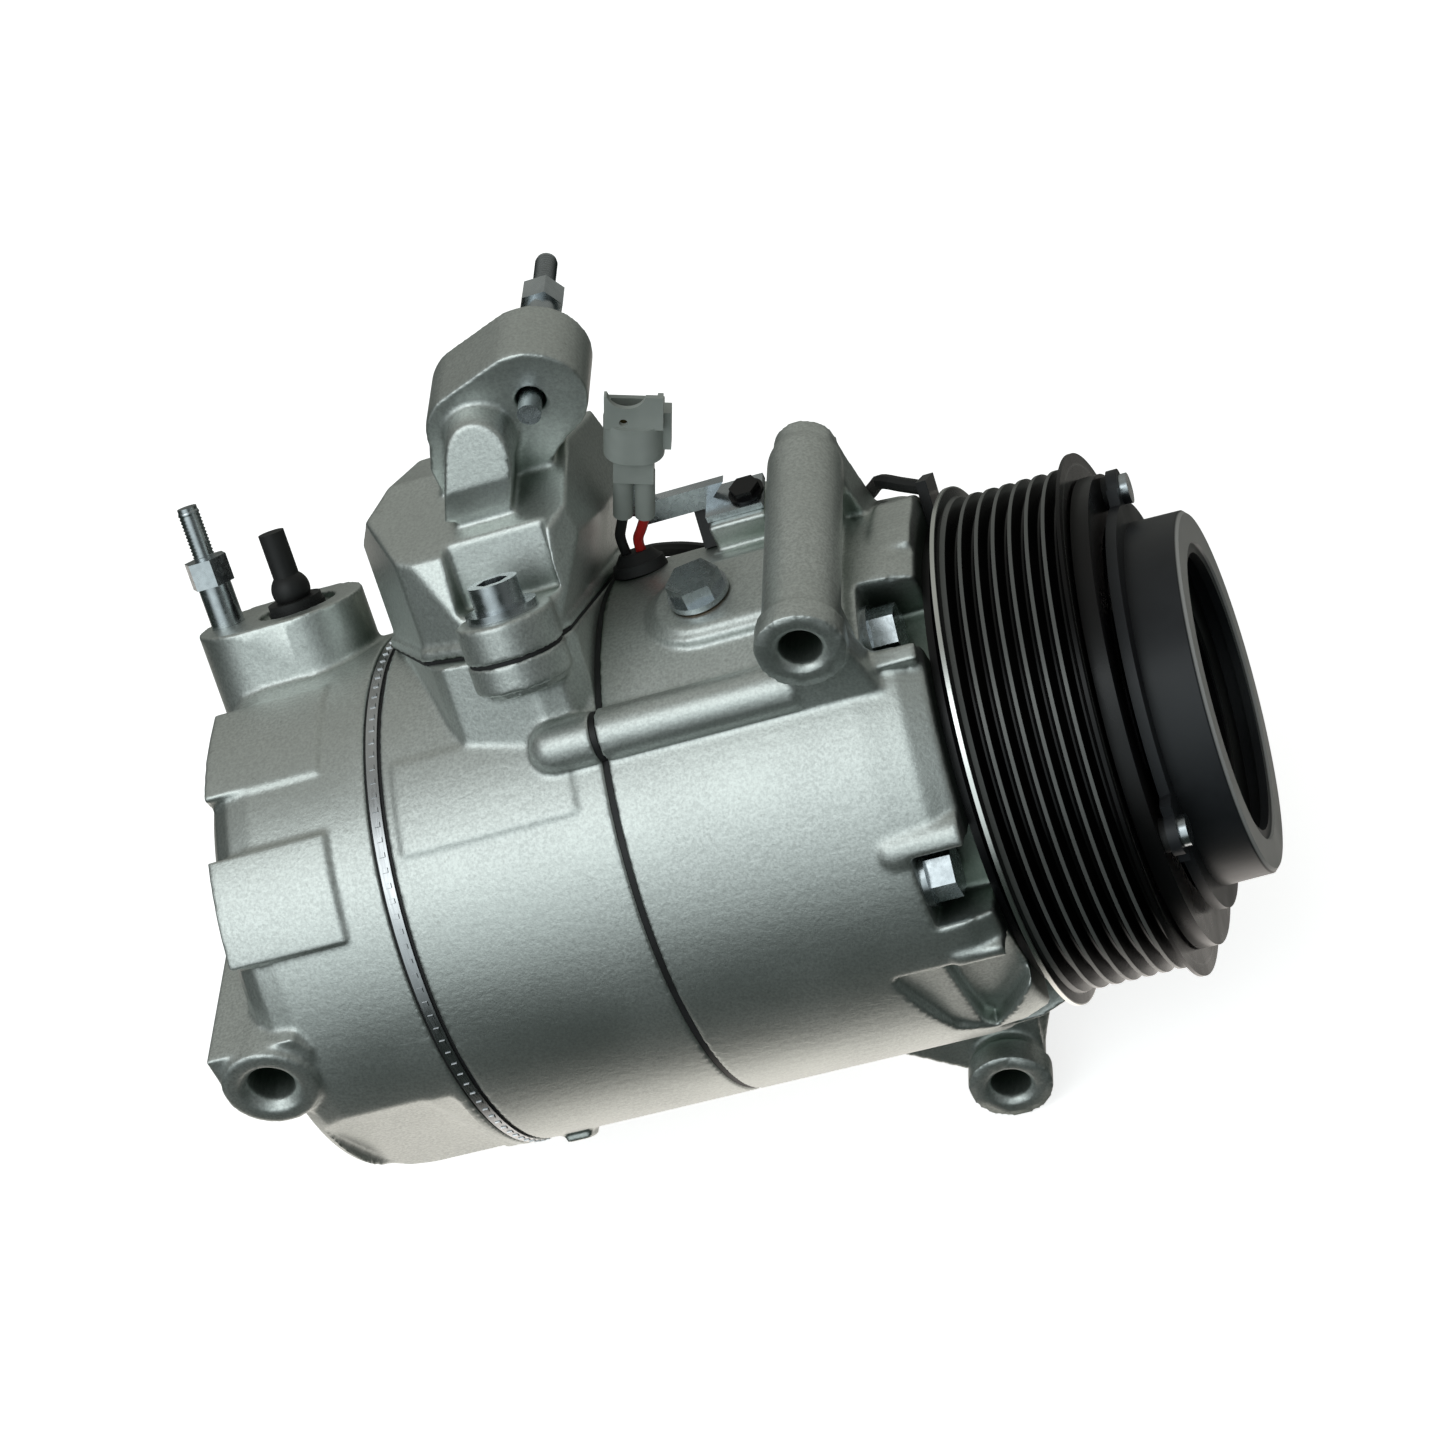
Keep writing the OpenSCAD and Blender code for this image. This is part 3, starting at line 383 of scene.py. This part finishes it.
def crisp_head(co):
    r = radius(co)
    height = co @ np.array(PORT_AXIS)
    inner = ramp(r, 0.0475, 0.0470) * ramp(co[:, 0], -0.168, -0.167)
    seam = ramp(co[:, 0], -0.1425, -0.1405)
    boss = ramp(bore_distance(co, (-0.1772, 0, 0.010), (0, 1, 0)), 0.0078, 0.0070)
    port = ramp(height, 0.0675, 0.0690) * ramp(r, 0.060, 0.062)
    pipe = ramp(bore_distance(co, (-0.158, 0, 0), PORT_AXIS), 0.0098, 0.0092)
    return np.clip(inner + seam + boss + port + pipe * ramp(r, 0.060, 0.062), 0, 1)


def crisp_block(co):
    r = radius(co)
    inner = ramp(r, 0.0555, 0.0550)
    ends = np.maximum(ramp(co[:, 0], -0.1345, -0.1365), ramp(co[:, 0], -0.0888, -0.0868))
    return np.clip(inner + ends + near_plane(co, 0.0575), 0, 1)


def crisp_front(co):
    r = radius(co)
    inner = ramp(r, 0.0535, 0.0530) * ramp(co[:, 0], -0.032, -0.0335)
    nose = ramp(r, 0.0225, 0.0215)
    seam = ramp(co[:, 0], -0.0832, -0.0850)
    out = np.clip(inner + nose + seam, 0, 1)
    for lug in LUGS:
        near = bore_distance(co, lug, (0, 1, 0))
        out = np.maximum(out, ramp(near, 0.0074, 0.0062))
        out = np.maximum(out, ramp(near, 0.0102, 0.0095) * ramp(co[:, 1], -0.0315, -0.0325))
    return out


def crisp_tower(co):
    return near_plane(co, 0.0583)


soft_casting("rear_head", crisp_head)
soft_casting("cylinder_block", crisp_block)
soft_casting("front_housing", crisp_front)
soft_casting("discharge_tower", crisp_tower)

# ---------------------------------------------------------------- small pieces
def new_piece(name, verts, faces, look, body="housing", smooth=False):
    mesh = bpy.data.meshes.new(name)
    mesh.from_pydata(verts, [], faces)
    bm = bmesh.new()
    bm.from_mesh(mesh)
    bmesh.ops.recalc_face_normals(bm, faces=bm.faces)
    bm.to_mesh(mesh)
    bm.free()
    mesh.materials.append(look)
    piece = bpy.data.objects.new(name, mesh)
    scene.collection.objects.link(piece)
    if smooth:
        mesh.shade_smooth()
    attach(piece, body)
    return piece


def lathe(profile, origin, axis, steps=48):
    """Closed ring turned from (along, radius) points about an axis."""
    turn = Vector((0, 0, 1)).rotation_difference(Vector(axis)).to_matrix()
    verts, faces = [], []
    for i in range(steps):
        a = 2 * math.pi * i / steps
        for along, r in profile:
            verts.append(turn @ Vector((r * math.cos(a), r * math.sin(a), along)) + Vector(origin))
    n = len(profile)
    for i in range(steps):
        for k in range(n):
            a, b = i * n + k, i * n + (k + 1) % n
            c, d = (i + 1) % steps * n + (k + 1) % n, (i + 1) % steps * n + k
            faces.append((a, d, c, b))
    return verts, faces


def thread(name, origin, axis, length, pitch=0.0008, core=0.0021, crest=0.00245):
    """Thread ridges round the thin end of a stud."""
    profile = [(0, core - 0.0004)]
    for i in range(int(length / pitch)):
        profile += [(i * pitch, core), ((i + 0.5) * pitch, crest)]
    profile += [(length, core), (length, core - 0.0004)]
    verts, faces = lathe(profile, origin, axis, 32)
    return new_piece(name, verts, faces, LOOKS["zinc"], smooth=True)


def rim_marks(name, count=112):
    """Small bright marks round the rim of the valve plate."""
    verts, faces = [], []
    for i in range(count):
        a = 2 * math.pi * i / count
        out = Vector((0, -math.sin(a), math.cos(a)))
        side = Vector((0, math.cos(a), math.sin(a)))
        start = len(verts)
        for r in (0.0575, 0.05845):
            wide = 0.0007 if r < 0.058 else 0.0005
            for x, s in ((-0.0006, -1), (0.0006, -1), (0.0006, 1), (-0.0006, 1)):
                verts.append(Vector((-0.13775 + x, 0, 0)) + out * r + side * wide * s)
        quads = ((0, 1, 2, 3), (7, 6, 5, 4), (0, 4, 5, 1), (1, 5, 6, 2), (2, 6, 7, 3), (3, 7, 4, 0))
        faces += [tuple(start + k for k in q) for q in quads]
    return new_piece(name, verts, faces, LOOKS["machined_steel"])


thread("tower_stud_thread", (-0.0836, 0.0582, 0.1051), (0, 1, 0), 0.0112)
rear_stud = Vector((-0.1745, 0.002 * math.cos(PORT), 0.002 * math.sin(PORT))) + Vector(PORT_AXIS) * 0.0864
thread("rear_stud_thread", rear_stud, PORT_AXIS, 0.011)
rim_marks("valve_plate_marks")

# ---------------------------------------------------------------- stage, light and camera
FLOOR_GAP = 0.0004
FLOOR_SIZE = 12
floor_z = cad_box[0].z - FLOOR_GAP
bpy.ops.mesh.primitive_plane_add(size=FLOOR_SIZE, location=(0, 0, floor_z))
floor = bpy.context.object
floor.name = "studio_floor"
f = Finish("pale_floor", Roughness=0.9)
f.colour(f.blend(f.spread(f.noise(3, 2), 0.3, 0.7), (0.86, 0.86, 0.855), (0.89, 0.89, 0.885)))
f.shader.inputs["Emission Color"].default_value = (1, 1, 1, 1)
f.shader.inputs["Emission Strength"].default_value = 0.78
floor.data.materials.append(f.material)
floor.visible_glossy = False
floor.visible_diffuse = False

# soft boxes of the studio, as (direction, inner angle, outer angle, colour)
BOXES = [
    ((-0.262, -0.735, 0.62), 6, 48, (0.96, 1.06, 1.08)),
    ((0.2, 0.75, 0.65), 20, 80, (0.3, 0.3, 0.28)),
    ((-0.5, -0.1, 0.86), 10, 60, (0.12, 0.12, 0.12)),
    ((0.85, -0.3, 0.42), 10, 45, (0.15, 0.155, 0.155)),
    ((-0.3, 0.35, -0.9), 12, 46, (1.45, 1.36, 1.27)),
]
world = bpy.data.worlds.new("studio")
scene.world = world
world.use_nodes = True
tree = world.node_tree
tree.nodes.clear()
place = tree.nodes.new("ShaderNodeTexCoord").outputs["Generated"]
total = None
for direction, inner, outer, colour in BOXES:
    dot = tree.nodes.new("ShaderNodeVectorMath")
    dot.operation = "DOT_PRODUCT"
    dot.inputs[1].default_value = Vector(direction).normalized()
    tree.links.new(place, dot.inputs[0])
    share = tree.nodes.new("ShaderNodeMapRange")
    share.interpolation_type = "SMOOTHSTEP"
    share.inputs["From Min"].default_value = math.cos(math.radians(outer))
    share.inputs["From Max"].default_value = math.cos(math.radians(inner))
    tree.links.new(dot.outputs["Value"], share.inputs["Value"])
    tint = tree.nodes.new("ShaderNodeVectorMath")
    tint.operation = "SCALE"
    tint.inputs[0].default_value = colour
    tree.links.new(share.outputs["Result"], tint.inputs["Scale"])
    if total is None:
        total = tint.outputs[0]
    else:
        add = tree.nodes.new("ShaderNodeVectorMath")
        add.operation = "ADD"
        tree.links.new(total, add.inputs[0])
        tree.links.new(tint.outputs[0], add.inputs[1])
        total = add.outputs[0]
dim = tree.nodes.new("ShaderNodeVectorMath")
dim.operation = "ADD"
dim.inputs[1].default_value = (0.027, 0.035, 0.031)
tree.links.new(total, dim.inputs[0])
lit = tree.nodes.new("ShaderNodeBackground")
tree.links.new(dim.outputs[0], lit.inputs["Color"])
plain = tree.nodes.new("ShaderNodeBackground")
plain.inputs["Color"].default_value = (0.95, 0.95, 0.95, 1)
path = tree.nodes.new("ShaderNodeLightPath")
pick = tree.nodes.new("ShaderNodeMixShader")
out = tree.nodes.new("ShaderNodeOutputWorld")
tree.links.new(path.outputs["Is Camera Ray"], pick.inputs[0])
tree.links.new(lit.outputs[0], pick.inputs[1])
tree.links.new(plain.outputs[0], pick.inputs[2])
tree.links.new(pick.outputs[0], out.inputs["Surface"])


def area_light(name, direction, distance, size, power, colour):
    data = bpy.data.lights.new(name, "AREA")
    data.size = size
    data.energy = power
    data.color = colour
    light = bpy.data.objects.new(name, data)
    scene.collection.objects.link(light)
    way = Vector(direction).normalized()
    light.location = Vector((-0.07, 0, 0)) + way * distance
    light.rotation_mode = "QUATERNION"
    light.rotation_quaternion = way.to_track_quat("Z", "Y")
    return light


area_light("key", (-0.35, -0.5, 0.79), 1.6, 0.9, 3, (0.97, 1.0, 1.0))

# lens, place in metres, and azimuth, elevation and roll in degrees
SENSOR_MM = 36
LENS_MM = 97.670865
CAMERA_AT = (0.1473, -0.6178, 0.5384)
CAMERA_TURNS = (19.45, 37.99, -27.0)
camera_data = bpy.data.cameras.new("camera")
camera_data.sensor_width = SENSOR_MM
camera_data.lens = LENS_MM
camera_data.clip_start = 0.05
camera_data.clip_end = 30
camera = bpy.data.objects.new("camera", camera_data)
scene.collection.objects.link(camera)
scene.camera = camera
azimuth, elevation, roll = (math.radians(v) for v in CAMERA_TURNS)
flat = math.cos(elevation)
back = Vector((math.sin(azimuth) * flat, -math.cos(azimuth) * flat, math.sin(elevation)))
right0 = Vector((0, 0, 1)).cross(back).normalized()
up0 = back.cross(right0)
right = math.cos(roll) * right0 + math.sin(roll) * up0
up = math.cos(roll) * up0 - math.sin(roll) * right0
camera.matrix_world = Matrix(
    (
        (right.x, up.x, back.x, CAMERA_AT[0]),
        (right.y, up.y, back.y, CAMERA_AT[1]),
        (right.z, up.z, back.z, CAMERA_AT[2]),
        (0, 0, 0, 1),
    )
)

scene.view_settings.view_transform = "Standard"
